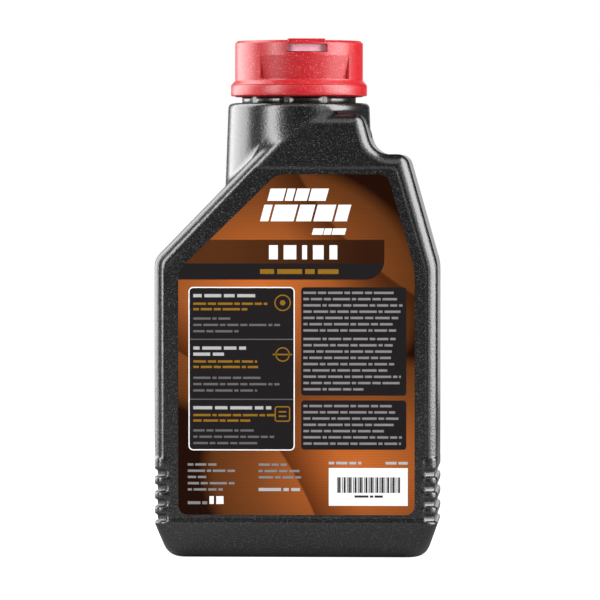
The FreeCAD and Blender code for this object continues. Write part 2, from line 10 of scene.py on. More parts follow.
import bpy
import numpy as np
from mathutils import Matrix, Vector


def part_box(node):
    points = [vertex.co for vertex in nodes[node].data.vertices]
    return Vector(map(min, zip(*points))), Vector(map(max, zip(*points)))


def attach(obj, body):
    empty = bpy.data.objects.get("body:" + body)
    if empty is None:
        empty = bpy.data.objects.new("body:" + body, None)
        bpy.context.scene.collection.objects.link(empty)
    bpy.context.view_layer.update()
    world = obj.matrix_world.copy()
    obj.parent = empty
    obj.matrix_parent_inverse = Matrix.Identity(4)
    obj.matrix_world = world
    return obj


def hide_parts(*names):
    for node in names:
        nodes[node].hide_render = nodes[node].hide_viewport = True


MM = 0.001

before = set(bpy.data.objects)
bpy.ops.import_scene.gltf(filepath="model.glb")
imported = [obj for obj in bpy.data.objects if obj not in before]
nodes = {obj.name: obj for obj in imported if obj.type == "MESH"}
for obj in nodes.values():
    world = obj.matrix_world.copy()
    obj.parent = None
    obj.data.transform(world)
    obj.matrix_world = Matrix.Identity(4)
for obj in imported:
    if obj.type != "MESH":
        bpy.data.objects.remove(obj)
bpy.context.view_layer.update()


def node_box(name):
    """Lowest and highest corner of a node, in millimetres."""
    low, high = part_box(name)
    return Vector(low) / MM, Vector(high) / MM


_, BOTTLE_HIGH = node_box("bottle")
LABEL_LOW, LABEL_HIGH = node_box("back_label")
CAP_LOW, _ = node_box("cap")
_, BAND_HIGH = node_box("tamper_band")

HALF_WIDTH = BOTTLE_HIGH.x
HALF_DEPTH = BOTTLE_HIGH.y
LIP = BOTTLE_HIGH.z

# Rims round both faces: their radius at foot and ribs, the wider arc above, and how far the
# middle of that arc is moved outwards, so that it meets the side at a crease.
RIM = 4.2
RIM_ARC = 6.4
RIM_OVER = 0.39

# Outlines seen from the front: across, height, radius of the corner.
BELOW_FOOT = -20.0
BODY_CORNERS = (
    (-HALF_WIDTH, BELOW_FOOT, 0.0),
    (-HALF_WIDTH, 122.7, 8.0),
    (-9.7, 172.6, 25.0),
    (3.9, 182.5, 8.0),
    (27.2, 182.5, 5.0),
    (31.8, 165.9, 8.5),
    (45.4, 165.9, 5.0),
    (HALF_WIDTH, 120.3, 20.0),
    (HALF_WIDTH, BELOW_FOOT, 0.0),
)
PANEL_INSET = 4.6
PANEL_DEPTH = 0.5
PANEL_SLOPE = 0.7
PANEL_BOTTOM = 15.6
PANEL_TOP = 160.4
PANEL_CORNERS = (
    (-HALF_WIDTH + PANEL_INSET, PANEL_BOTTOM, 3.0),
    (-HALF_WIDTH + PANEL_INSET, 119.6, 8.0),
    (-16.5, PANEL_TOP, 3.0),
    (41.2, PANEL_TOP, 3.0),
    (HALF_WIDTH - PANEL_INSET, 118.5, 20.0),
    (HALF_WIDTH - PANEL_INSET, PANEL_BOTTOM, 3.0),
)

# Foot, drawn in towards the base, and the hollow under it
FOOT_HEIGHT = 14.5
FOOT_INSET = 5.3
FOOT_CORNER = 9.0
FOOT_ROUND = 5.2
STAND_WIDTH = 8.5
PUSH_UP = 1.5

# Finger grooves on the sides and the ribs between them
GRIP_BOTTOM = 15.2
GRIP_PITCH = 6.1
GROOVE_HEIGHT = 2.9
GROOVE_DEPTH = 1.25
GROOVE_COUNT = 4
RIB_INSET = 6.2
RIB_ROUND = 1.3
TOP_RIB_HEIGHT = 5.1
GRIP_TOP = GRIP_BOTTOM + GROOVE_COUNT * GRIP_PITCH + TOP_RIB_HEIGHT + 2.0

# Round neck, and the well inside it
NECK_RADIUS = 29.25
NECK_FLARE = 1.35
NECK_BOTTOM = 150.0
NECK_TOP = 187.1
NECK_ROUND = 2.0
NECK_BLEND = 4.0
WALL = 1.0
WELL_RADIUS = 23.0
WELL_DROP = 10.0

# Collar with its lugs, bead, and threaded mouth
COLLAR_RADIUS = 23.0
COLLAR_TOP = 190.6
LUG_COUNT = 9
LUG_HALF_ANGLE = math.radians(15.0)
LUG_PROUD = 0.6
LUG_TOP = 190.3
BEAD_RADIUS = 24.9
BEAD_TOP = 192.4
FINISH_RADIUS = 22.0
MOUTH_RADIUS = 20.4
THREAD_BOTTOM = 195.2
THREAD_TURNS = 1.5
THREAD_PITCH = 8.0
THREAD_PROUD = 1.1
THREAD_HALF = 1.4
THREAD_CREST_HALF = 0.45
THREAD_FADE = 0.08
THREAD_ROWS = 56

# Break-off band
BAND_BORE = 24.1
BAND_RECESS = 26.9
BAND_BOTTOM = 190.05
BAND_LIP_DROP = 0.4
BAND_GAP = 0.06

# Grid of the skin: stretches of (start, end, spacing), finer at rims, ribs and panel edge
SKIN_ACROSS = ((-59.6, -49.0, 0.6), (-49.0, 38.0, 1.2), (38.0, 59.6, 0.6))
SKIN_DEEP = ((-31.5, -24.0, 0.6), (-24.0, 24.0, 1.3), (24.0, 31.5, 0.6))
SKIN_UP = ((-1.2, 44.0, 0.5), (44.0, 114.0, 1.7), (114.0, 158.0, 0.85),
           (158.0, 162.0, 0.35), (162.0, 190.0, 0.85))
GRID_SLICES = 12
TURNED_SEGMENTS = 180


# Meshes

def new_piece(name, points, faces, material, body, smooth=True):
    """A mesh piece from points in millimetres, riding on a body of the frame."""
    mesh = bpy.data.meshes.new(name)
    mesh.from_pydata([(x * MM, y * MM, z * MM) for x, y, z in points], [], faces)
    mesh.validate()
    mesh.update()
    mesh.polygons.foreach_set("use_smooth", [smooth] * len(mesh.polygons))
    mesh.materials.append(material)
    piece = bpy.data.objects.new(name, mesh)
    bpy.context.scene.collection.objects.link(piece)
    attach(piece, body)
    return piece


def rounded_loop(corners, step=math.radians(6.0)):
    """Points of a closed outline whose corners are arcs of the given radius."""
    loop = []
    count = len(corners)
    for i, (across, up, radius) in enumerate(corners):
        here = np.array((across, up))
        back = np.array(corners[i - 1][:2]) - here
        ahead = np.array(corners[(i + 1) % count][:2]) - here
        back /= np.linalg.norm(back)
        ahead /= np.linalg.norm(ahead)
        if radius == 0.0:
            loop.append(here)
            continue
        half = math.acos(float(np.clip(back @ ahead, -1.0, 1.0))) / 2.0
        middle = (back + ahead) / np.linalg.norm(back + ahead)
        centre = here + middle * (radius / math.sin(half))
        first = here + back * (radius / math.tan(half)) - centre
        last = here + ahead * (radius / math.tan(half)) - centre
        start = math.atan2(first[1], first[0])
        sweep = math.atan2(last[1], last[0]) - start
        sweep = (sweep + math.pi) % (2.0 * math.pi) - math.pi
        parts = max(1, math.ceil(abs(sweep) / step))
        for j in range(parts + 1):
            angle = start + sweep * j / parts
            loop.append(centre + radius * np.array((math.cos(angle), math.sin(angle))))
    return np.array(loop)


def outline_distance(across, up, loop):
    """Signed distance to a closed outline, negative inside, with its direction."""
    across, up = np.broadcast_arrays(across, up)
    flat = np.stack((across.ravel(), up.ravel()), axis=1)
    best = np.full(len(flat), np.inf)
    away = np.zeros_like(flat)
    inside = np.zeros(len(flat), bool)
    for start, end in zip(loop, np.roll(loop, -1, axis=0)):
        run = end - start
        offset = flat - start
        share = np.clip(offset @ run / (run @ run), 0.0, 1.0)
        gap = offset - share[:, None] * run
        square = np.einsum("ij,ij->i", gap, gap)
        nearer = square < best
        best[nearer] = square[nearer]
        away[nearer] = gap[nearer]
        crosses = (start[1] > flat[:, 1]) != (end[1] > flat[:, 1])
        if run[1] != 0.0:
            meets = start[0] + (flat[:, 1] - start[1]) * run[0] / run[1]
            inside ^= crosses & (flat[:, 0] < meets)
    reach = np.sqrt(best)
    sign = np.where(inside, -1.0, 1.0)
    away = away * (sign / np.maximum(reach, 1e-9))[:, None]
    shape = across.shape
    return (sign * reach).reshape(shape), away[:, 0].reshape(shape), away[:, 1].reshape(shape)


def soft_least(a, b, width):
    """The smaller of two distances, blended over a width."""
    width = np.maximum(width, 1e-4)
    overlap = np.maximum(width - np.abs(a - b), 0.0) / width
    return np.minimum(a, b) - overlap * overlap * width / 4.0


def soft_most(a, b, width):
    """The larger of two distances, blended over a width."""
    return -soft_least(-a, -b, width)


def rounded_box(offsets, radius):
    """Distance to a box with rounded edges, from the offsets past its faces."""
    raised = [offset + radius for offset in offsets]
    outside = np.sqrt(sum(np.maximum(r, 0.0) ** 2 for r in raised))
    inside = np.minimum(functools.reduce(np.maximum, raised), 0.0)
    return outside + inside - radius


def smooth_step(low, high, value):
    """Rises smoothly from nought to one between two values."""
    share = np.clip((value - low) / (high - low), 0.0, 1.0)
    return share * share * (3.0 - 2.0 * share)


BODY_LOOP = rounded_loop(BODY_CORNERS)
PANEL_LOOP = rounded_loop(PANEL_CORNERS)


def slab_distance(x, y, z):
    """The flat body, whose wide rims meet its sides at a crease, and its surface direction."""
    side, away_x, away_z = outline_distance(x, z, BODY_LOOP)
    a = side - RIM_OVER + RIM_ARC
    b = np.abs(y) - HALF_DEPTH + RIM_ARC
    rim = np.hypot(np.maximum(a, 0.0), np.maximum(b, 0.0))
    rim += np.minimum(np.maximum(a, b), 0.0) - RIM_ARC
    on_side = side > rim
    corner = (a > 0.0) & (b > 0.0)
    length = np.maximum(np.hypot(a, b), 1e-9)
    part_a = np.where(on_side, 1.0, np.where(corner, a / length, a > b))
    part_b = np.where(on_side, 0.0, np.where(corner, b / length, a <= b))
    return np.maximum(side, rim), (away_x * part_a, np.sign(y) * part_b, away_z * part_a)


def neck_distance(x, y, z):
    """The round neck, a little wider towards its bottom, and its surface direction."""
    reach = np.maximum(np.hypot(x, y), 1e-9)
    radius = NECK_RADIUS + NECK_FLARE * (NECK_TOP - z) / (NECK_TOP - NECK_BOTTOM)
    body = rounded_box((reach - radius, z - NECK_TOP), NECK_ROUND)
    return np.maximum(body, NECK_BOTTOM - z), (x / reach, y / reach)


def foot_distance(x, y, z):
    """The drawn-in foot with its rounded base edge and the hollow under it."""
    drawn = np.maximum(FOOT_HEIGHT - z, 0.0) / FOOT_HEIGHT
    inset = FOOT_INSET * drawn
    corner = RIM + (FOOT_CORNER - RIM) * drawn
    plan = rounded_box(
        (np.abs(x) - (HALF_WIDTH - inset), np.abs(y) - (HALF_DEPTH - inset)), corner)
    lean = math.cos(math.atan(FOOT_INSET / FOOT_HEIGHT))
    foot = soft_most(plan * np.where(z < FOOT_HEIGHT, lean, 1.0), -z, FOOT_ROUND)
    hollow = rounded_box(
        (np.abs(x) - (HALF_WIDTH - FOOT_INSET - STAND_WIDTH),
         np.abs(y) - (HALF_DEPTH - FOOT_INSET - STAND_WIDTH),
         z - PUSH_UP), 1.0)
    return soft_most(foot, -hollow, 1.5)


def grip_distance(x, y, z, body):
    """Cuts the finger grooves and adds the ribs between them."""
    side = np.abs(x) - (HALF_WIDTH - GROOVE_DEPTH)
    run = (RIB_INSET - GROOVE_DEPTH, RIM)
    slant = (side * run[1] + (np.abs(y) - (HALF_DEPTH - RIM)) * run[0]) / math.hypot(*run)
    waist = np.maximum(side, slant)
    for i in range(GROOVE_COUNT):
        middle = GRIP_BOTTOM + i * GRIP_PITCH + GROOVE_HEIGHT / 2.0
        band = GROOVE_HEIGHT / 2.0 - np.abs(z - middle)
        body = soft_most(body, soft_least(band, waist, 0.8), 0.8)
    for i in range(GROOVE_COUNT):
        low = GRIP_BOTTOM + GROOVE_HEIGHT + i * GRIP_PITCH
        height = TOP_RIB_HEIGHT if i == GROOVE_COUNT - 1 else GRIP_PITCH - GROOVE_HEIGHT
        across = np.abs(np.abs(x) - (HALF_WIDTH - RIB_INSET / 2.0)) - RIB_INSET / 2.0
        rib = rounded_box(
            (across, np.abs(y) - HALF_DEPTH, np.abs(z - low - height / 2.0) - height / 2.0),
            RIB_ROUND)
        body = soft_least(body, rib, 0.4)
    return body


def skin_distance(x, y, z):
    """Distance to the outside of the moulded bottle, without the tube of the mouth."""
    slab, (ax, ay, az) = slab_distance(x, y, z)
    neck, (bx, by) = neck_distance(x, y, z)
    alike = ax * bx + ay * by
    body = soft_least(slab, neck, NECK_BLEND * (1.0 - alike * alike))
    panel, _, _ = outline_distance(x, z, PANEL_LOOP)
    sunk = PANEL_DEPTH * np.clip(0.5 - panel / PANEL_SLOPE, 0.0, 1.0)
    body = soft_most(body, np.abs(y) - (HALF_DEPTH - sunk), 0.1)
    if np.min(z) < GRIP_TOP:
        lower = grip_distance(x, y, z, body)
        body = soft_most(lower, foot_distance(x, y, z), 0.6)
    return body


def steps(*stretches):
    """Grid lines from stretches of (start, end, spacing) that follow each other."""
    lines = []
    for start, end, spacing in stretches:
        count = max(1, round((end - start) / spacing))
        lines.extend(np.linspace(start, end, count, endpoint=False))
    lines.append(stretches[-1][1])
    return np.array(lines)


def net(field, xs, ys, zs):
    """A quad mesh over the zero surface of a field, with one vertex a crossed cell."""
    slices = np.array_split(zs, GRID_SLICES)
    values = np.concatenate([
        field(*np.meshgrid(xs, ys, part, indexing="ij", sparse=True)) for part in slices], axis=2)
    inside = values < 0.0
    corners = [(i, j, k) for i in (0, 1) for j in (0, 1) for k in (0, 1)]
    shape = tuple(n - 1 for n in values.shape)
    filled = sum(
        inside[i:i + shape[0], j:j + shape[1], k:k + shape[2]].astype(np.int8)
        for i, j, k in corners)
    cells = np.argwhere((filled > 0) & (filled < 8))
    number = np.full(shape, -1)
    number[tuple(cells.T)] = np.arange(len(cells))
    total = np.zeros((len(cells), 3))
    hits = np.zeros(len(cells))
    axes = (xs, ys, zs)
    for start in corners:
        for axis in range(3):
            if start[axis]:
                continue
            end = list(start)
            end[axis] = 1
            here = cells + start
            there = cells + end
            a = values[tuple(here.T)]
            b = values[tuple(there.T)]
            crossed = (a < 0.0) != (b < 0.0)
            share = np.where(crossed, a / np.where(crossed, a - b, 1.0), 0.0)
            spot = np.stack([axes[n][here[:, n]] for n in range(3)], axis=1)
            spot[:, axis] += share * (axes[axis][there[:, axis]] - spot[:, axis])
            total += spot * crossed[:, None]
            hits += crossed
    points = total / hits[:, None]
    faces = []
    for axis in range(3):
        low = [slice(1, -1)] * 3
        high = [slice(1, -1)] * 3
        low[axis] = slice(None, -1)
        high[axis] = slice(1, None)
        changed = inside[tuple(low)] != inside[tuple(high)]
        leaves = inside[tuple(low)]
        spots = np.argwhere(changed) + 1
        spots[:, axis] -= 1
        outward = leaves[changed]
        u, v = (axis + 1) % 3, (axis + 2) % 3
        ring = []
        for du, dv in ((-1, -1), (0, -1), (0, 0), (-1, 0)):
            cell = spots.copy()
            cell[:, u] += du
            cell[:, v] += dv
            ring.append(number[tuple(cell.T)])
        quads = np.stack(ring, axis=1)
        quads[~outward] = quads[~outward][:, ::-1]
        faces.append(quads)
    return points, np.concatenate(faces)


def settle(points, field, probe=0.02, farthest=0.4):
    """Moves points along the field's slope onto its zero surface."""
    here = field(*points.T)
    slope = np.stack([
        field(*(points + probe * np.eye(3)[axis]).T)
        - field(*(points - probe * np.eye(3)[axis]).T)
        for axis in range(3)], axis=1) / (2.0 * probe)
    steep = np.maximum(np.einsum("ij,ij->i", slope, slope), 0.25)
    return points - np.clip(here / steep, -farthest, farthest)[:, None] * slope


def opened(points, quads, radius, height):
    """Takes away the faces above a height and within a radius of the neck's axis."""
    middle = points[quads].mean(axis=1)
    within = np.hypot(middle[:, 0], middle[:, 1]) < radius
    quads = quads[~(within & (middle[:, 2] > height))]
    used = np.unique(quads)
    number = np.full(len(points), -1)
    number[used] = np.arange(len(used))
    return points[used], number[quads]


def spun(profile):
    """Points and faces of a turned piece from (radius, height) pairs or a radius function."""
    segments = TURNED_SEGMENTS
    points = []
    for radius, height in profile:
        for i in range(segments):
            angle = 2.0 * math.pi * i / segments
            reach = radius(angle) if callable(radius) else radius
            points.append((reach * math.cos(angle), reach * math.sin(angle), height))
    faces = []
    for ring in range(len(profile) - 1):
        for i in range(segments):
            j = (i + 1) % segments
            low, high = ring * segments, (ring + 1) * segments
            faces.append((low + i, low + j, high + j, high + i))
    return points, faces


# Print on the label, in millimetres across and up on its face

FILM_FACE = LABEL_LOW.y
PRINT_LIFT = 0.03
FIELD_LAYER, TEXT_LAYER, CODE_LAYER = 1, 2, 3
LABEL_LOOP = rounded_loop((
    (LABEL_LOW.x, LABEL_LOW.z, 3.7),
    (LABEL_LOW.x, 118.2, 8.0),
    (-7.8, LABEL_HIGH.z, 8.0),
    (37.6, LABEL_HIGH.z, 5.0),
    (LABEL_HIGH.x, 119.3, 20.0),
    (LABEL_HIGH.x, LABEL_LOW.z, 3.7),
))


def clipped(polygon, loop):
    """The part of a convex polygon that lies inside a convex outline."""
    middle = loop.mean(axis=0)
    points = [np.array(p, float) for p in polygon]
    for start, end in zip(loop, np.roll(loop, -1, axis=0)):
        normal = np.array((start[1] - end[1], end[0] - start[0]))
        if normal @ (middle - start) < 0.0:
            normal = -normal
        kept = []
        for i, here in enumerate(points):
            last = points[i - 1]
            here_in = normal @ (here - start) >= 0.0
            last_in = normal @ (last - start) >= 0.0
            if here_in != last_in:
                share = (normal @ (start - last)) / (normal @ (here - last))
                kept.append(last + share * (here - last))
            if here_in:
                kept.append(here)
        points = kept
    return points


def print_ink(name, shapes, material, layer):
    """One ink of the print: flat shapes a hair in front of the film."""
    points, faces = [], []
    for shape in shapes:
        first = len(points)
        points.extend((x, FILM_FACE - layer * PRINT_LIFT, z) for x, z in shape)
        faces.append(tuple(range(first, len(points))))
    new_piece(name, points, faces, material, "bottle_body", smooth=False)


def block(left, right, low, high, lean=0.0):
    """A rectangle; lean moves its top edge to the right."""
    return [(left, low), (right, low), (right + lean, high), (left + lean, high)]


def rounded_block(left, right, low, high, radius):
    """A rectangle with round corners."""
    return rounded_loop(((left, low, radius), (right, low, radius),
                         (right, high, radius), (left, high, radius)), math.radians(15.0))


def ring_of(outer, inner):
    """Quads that fill the strip between two outlines of as many points."""
    count = len(outer)
    return [[outer[i], outer[(i + 1) % count], inner[(i + 1) % count], inner[i]]
            for i in range(count)]


def round_outline(x, z, radius, sides=28):
    """Points of a circle."""
    return [(x + radius * math.cos(2.0 * math.pi * i / sides),
             z + radius * math.sin(2.0 * math.pi * i / sides)) for i in range(sides)]


WORD_SHARES = (5.2, 2.3, 7.1, 3.4, 4.6, 1.7, 6.0, 2.9)
WORD_GAP = 0.75


def words(left, right, middle, height, seed, scale=1.0):
    """A line of print as plain bars of uneven length."""
    bars = []
    x = left
    index = seed
    while x < right - 0.6:
        end = min(x + scale * WORD_SHARES[index % len(WORD_SHARES)], right)
        if right - end < 1.5:
            end = right
        bars.append(block(x, end, middle - height / 2.0, middle + height / 2.0))
        x = end + WORD_GAP * scale
        index += 3
    return bars


def paragraph(left, widths, first, pitch, height, seed):
    """Lines of bars below each other, each with its own width."""
    lines = []
    for i, width in enumerate(widths):
        lines += words(left, left + width, first - i * pitch, height, seed + i)
    return lines


# Materials

# Attribute and depths where the creases get painted shade
CREASE = "crease"
CREASE_FROM, CREASE_TO = 5.3, 2.5
PRINT_ROUGHNESS = 0.3
PRINT_SHEEN = 0.05
PRINT_EDGE = 0.94


def new_material(name):
    """A node material with its tree and its shader."""
    material = bpy.data.materials.new(name)
    material.use_nodes = True
    return material, material.node_tree, material.node_tree.nodes["Principled BSDF"]


def add(tree, kind, **values):
    """A node, with values for its sockets or its settings."""
    node = tree.nodes.new(kind)
    for name, value in values.items():
        if name in node.inputs:
            node.inputs[name].default_value = value
        else:
            setattr(node, name, value)
    return node


def grain(tree, scale, detail=2.0):
    """Fine noise in object coordinates; scale counts its cells over a metre."""
    place = add(tree, "ShaderNodeTexCoord")
    noise = add(tree, "ShaderNodeTexNoise", Scale=scale, Detail=detail)
    tree.links.new(place.outputs["Object"], noise.inputs["Vector"])
    return noise


def ramp(tree, source, stops):
    """Colours at places along a value."""
    node = add(tree, "ShaderNodeValToRGB")
    while len(node.color_ramp.elements) < len(stops):
        node.color_ramp.elements.new(0.5)
    for element, (place, colour) in zip(node.color_ramp.elements, stops):
        element.position = place
        element.color = (*colour, 1.0)
    tree.links.new(source, node.inputs["Fac"])
    return node


def bump(tree, source, shader, strength, distance):
    """Raises the surface by a value, over a distance in metres."""
    node = add(tree, "ShaderNodeBump", Strength=strength, Distance=distance)
    tree.links.new(source, node.inputs["Height"])
    tree.links.new(node.outputs["Normal"], shader.inputs["Normal"])
    return node


def moulded_normal(tree, source, shader, strength, distance, edge):
    """Grain on the surface, with the sharp edges of the mesh eased."""
    eased = add(tree, "ShaderNodeBevel", Radius=edge, samples=4)
    raised = bump(tree, source, shader, strength, distance)
    tree.links.new(eased.outputs["Normal"], raised.inputs["Normal"])


def crease_shade_mask(tree):
    """Painted shade: one along the creases between rims and sides, by depth and by the mesh's own
    mark.
    """
    place = add(tree, "ShaderNodeTexCoord")
    parts = add(tree, "ShaderNodeSeparateXYZ")
    depth = add(tree, "ShaderNodeMath", operation="ABSOLUTE")
    tree.links.new(place.outputs["Object"], parts.inputs["Vector"])
    tree.links.new(parts.outputs["Y"], depth.inputs[0])
    line = add(tree, "ShaderNodeMapRange")
    line.inputs["From Min"].default_value = (HALF_DEPTH - CREASE_FROM) * MM
    line.inputs["From Max"].default_value = (HALF_DEPTH - CREASE_TO) * MM
    tree.links.new(depth.outputs["Value"], line.inputs["Value"])
    hump = ramp(tree, line.outputs["Result"], (
        (0.12, (0.0, 0.0, 0.0)), (0.30, (1.0, 1.0, 1.0)),
        (0.62, (1.0, 1.0, 1.0)), (0.90, (0.0, 0.0, 0.0))))
    where = add(tree, "ShaderNodeAttribute", attribute_name=CREASE)
    return combine(tree, "MULTIPLY", hump.outputs["Color"], where.outputs["Fac"])


def black_plastic():
    """Black plastic with the fine sparkle of a blasted mould, its reflection cut along the sharp
    creases as painted shade.
    """
    material, tree, shader = new_material("black_plastic")
    fine = grain(tree, 2200.0, 1.0)
    tint = ramp(tree, fine.outputs["Fac"], (
        (0.45, (0.002, 0.002, 0.002)), (0.58, (0.004, 0.004, 0.004)),
        (0.70, (0.05, 0.05, 0.05))))
    tree.links.new(tint.outputs["Color"], shader.inputs["Base Color"])
    shader.inputs["Roughness"].default_value = 0.26
    # Painted shade: the reflection drops along the creases, so they show as dark lines under any
    # lamp.
    crease_shade_specular = add(tree, "ShaderNodeMapRange")
    crease_shade_specular.inputs["To Min"].default_value = 0.9
    crease_shade_specular.inputs["To Max"].default_value = 0.12
    tree.links.new(crease_shade_mask(tree), crease_shade_specular.inputs["Value"])
    tree.links.new(crease_shade_specular.outputs["Result"], shader.inputs["Specular IOR Level"])
    coarse = grain(tree, 1150.0, 1.0)
    bump(tree, coarse.outputs["Fac"], shader, 0.55, 0.0001)
    return material


def red_plastic():
    """Red plastic that lets a little light through, with fine pale specks."""
    material, tree, shader = new_material("red_plastic")
    fine = grain(tree, 2100.0, 1.0)
    tint = ramp(tree, fine.outputs["Fac"], (
        (0.35, (0.34, 0.001, 0.004)), (0.60, (0.42, 0.003, 0.008)),
        (0.76, (0.72, 0.15, 0.17))))
    tree.links.new(tint.outputs["Color"], shader.inputs["Base Color"])
    shader.inputs["Roughness"].default_value = 0.36
    shader.inputs["Specular IOR Level"].default_value = 0.6
    shader.inputs["Subsurface Weight"].default_value = 0.35
    shader.inputs["Subsurface Radius"].default_value = (1.0, 0.08, 0.06)
    shader.inputs["Subsurface Scale"].default_value = 0.0015
    moulded_normal(tree, fine.outputs["Fac"], shader, 0.35, 0.0001, 0.0004)
    return material


def milky_plastic():
    """Pale pink plastic of the seal, a little cloudy."""
    material, tree, shader = new_material("milky_plastic")
    fine = grain(tree, 900.0)
    tint = ramp(tree, fine.outputs["Fac"], (
        (0.3, (0.78, 0.40, 0.50)), (0.7, (0.86, 0.50, 0.60))))
    tree.links.new(tint.outputs["Color"], shader.inputs["Base Color"])
    shader.inputs["Roughness"].default_value = 0.4
    return material


def glow(tree, place, middle, reach):
    """A round falloff on the label's face: one at its middle, none at its reach."""
    scale = (1.0 / (reach[0] * MM), 0.0, 1.0 / (reach[1] * MM))
    shift = (-middle[0] / reach[0], 0.0, -middle[1] / reach[1])
    moved = add(tree, "ShaderNodeMapping", Location=shift, Scale=scale)
    fall = add(tree, "ShaderNodeTexGradient", gradient_type="SPHERICAL")
    tree.links.new(place.outputs["Object"], moved.inputs["Vector"])
    tree.links.new(moved.outputs["Vector"], fall.inputs["Vector"])
    return fall.outputs["Fac"]


def combine(tree, operation, a, b):
    """Two values joined by a sum of the given kind."""
    node = add(tree, "ShaderNodeMath", operation=operation)
    tree.links.new(a, node.inputs[0])
    tree.links.new(b, node.inputs[1])
    return node.outputs["Value"]


def shade(tree, colour, mask):
    """Darkens a colour by a mask."""
    node = add(tree, "ShaderNodeMix", data_type="RGBA", blend_type="MULTIPLY")
    node.inputs["Factor"].default_value = 1.0
    tree.links.new(colour, node.inputs["A"])
    tree.links.new(mask, node.inputs["B"])
    return node.outputs["Result"]


def print_finish(tree, colour, shader):
    """The colour and the dull sheen that all the print shares."""
    tree.links.new(colour, shader.inputs["Base Color"])
    shader.inputs["Roughness"].default_value = PRINT_ROUGHNESS
    shader.inputs["Specular IOR Level"].default_value = PRINT_SHEEN


def label_film():
    """Film printed with two orange glows on brown, crossed by wide arcs and fine lines."""
    material, tree, shader = new_material("label_film")
    place = add(tree, "ShaderNodeTexCoord")
    upper = glow(tree, place, (-15.0, 110.0), (70.0, 55.0))
    lower = glow(tree, place, (24.0, 37.0), (64.0, 50.0))
    both = combine(tree, "MAXIMUM", upper, lower)
    colour = ramp(tree, both, (
        (0.0, (0.012, 0.003, 0.001)), (0.10, (0.100, 0.030, 0.007)),
        (0.35, (0.170, 0.048, 0.011)), (0.68, (0.34, 0.090, 0.019)),
        (1.0, (0.50, 0.127, 0.024)))).outputs["Color"]
    for middle, reach, edge in (((118.0, 222.0), 176.0, 0.245), ((-130.0, -40.0), 190.0, 0.215)):
        arc = glow(tree, place, middle, (reach, reach))
        fold = ramp(tree, arc, (
            (0.0, (1.0, 1.0, 1.0)), (edge - 0.10, (1.0, 1.0, 1.0)),
            (edge - 0.004, (0.38, 0.34, 0.31)), (edge, (1.0, 1.0, 1.0))))
        colour = shade(tree, colour, fold.outputs["Color"])
    lines = add(tree, "ShaderNodeTexWave", Scale=300.0, bands_direction="Z")
    tree.links.new(place.outputs["Object"], lines.inputs["Vector"])
    faint = ramp(tree, lines.outputs["Fac"], (
        (0.3, (0.90, 0.88, 0.86)), (0.8, (1.0, 1.0, 1.0))))
    print_finish(tree, shade(tree, colour, faint.outputs["Color"]), shader)
    return material


def ink(name, colour):
    """A printed colour with the slight unevenness of print."""
    material, tree, shader = new_material(name)
    uneven = grain(tree, 700.0)
    tint = ramp(tree, uneven.outputs["Fac"], (
        (0.3, tuple(PRINT_EDGE * c for c in colour)), (0.7, colour)))
    print_finish(tree, tint.outputs["Color"], shader)
    return material


def glaze(name, near, far, left, right):
    """A printed field that darkens across the label."""
    material, tree, shader = new_material(name)
    place = add(tree, "ShaderNodeTexCoord")
    moved = add(tree, "ShaderNodeMapping", Location=(-left / (right - left), 0.0, 0.0),
                Scale=(1.0 / ((right - left) * MM), 0.0, 0.0))
    across = add(tree, "ShaderNodeTexGradient", gradient_type="LINEAR")
    tree.links.new(place.outputs["Object"], moved.inputs["Vector"])
    tree.links.new(moved.outputs["Vector"], across.inputs["Vector"])
    tint = ramp(tree, across.outputs["Fac"], ((0.15, near), (0.9, far)))
    print_finish(tree, tint.outputs["Color"], shader)
    return material


BLACK = black_plastic()
RED = red_plastic()
MILKY = milky_plastic()
FILM = label_film()
WHITE_INK = ink("white_ink", (0.86, 0.86, 0.86))
HEADING_INK = ink("heading_ink", (0.42, 0.42, 0.42))
GREY_INK = ink("grey_ink", (0.115, 0.112, 0.112))
PALE_INK = ink("pale_ink", (0.21, 0.20, 0.20))
GOLD_INK = ink("gold_ink", (0.24, 0.12, 0.012))
CHARCOAL_INK = ink("charcoal_ink", (0.013, 0.011, 0.012))
DARK_INK = ink("dark_ink", (0.03, 0.03, 0.03))
BROWN_GLAZE = glaze("brown_glaze", (0.070, 0.022, 0.006), (0.026, 0.008, 0.003), -40.0, 36.0)


# Bottle

def mark_crease_shade(skin, points):
    """Marks the skin near its outline, above the ribs and clear of the neck, for the painted
    shade along the creases.
    """
    x, y, z = points.T
    side, _, _ = outline_distance(x, z, BODY_LOOP)
    neck, _ = neck_distance(x, y, z)
    near = smooth_step(-1.5, -0.8, side) * smooth_step(GRIP_TOP - 2.0, GRIP_TOP, z)
    near *= smooth_step(0.2, 1.0, neck)
    crease = skin.data.attributes.new(CREASE, "FLOAT", "POINT")
    crease.data.foreach_set("value", near.astype(np.float32))


def build_skin():
    """The outside of the moulding up to the top of the neck, open under the mouth."""
    points, quads = net(
        skin_distance, steps(*SKIN_ACROSS), steps(*SKIN_DEEP), steps(*SKIN_UP))
    points = settle(points, skin_distance)
    points, quads = opened(points, quads, COLLAR_RADIUS - 1.2, NECK_TOP - 1.0)
    skin = new_piece("bottle_skin", points.tolist(), quads.tolist(), BLACK,
                     "bottle_body")
    mark_crease_shade(skin, points)
    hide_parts("bottle")


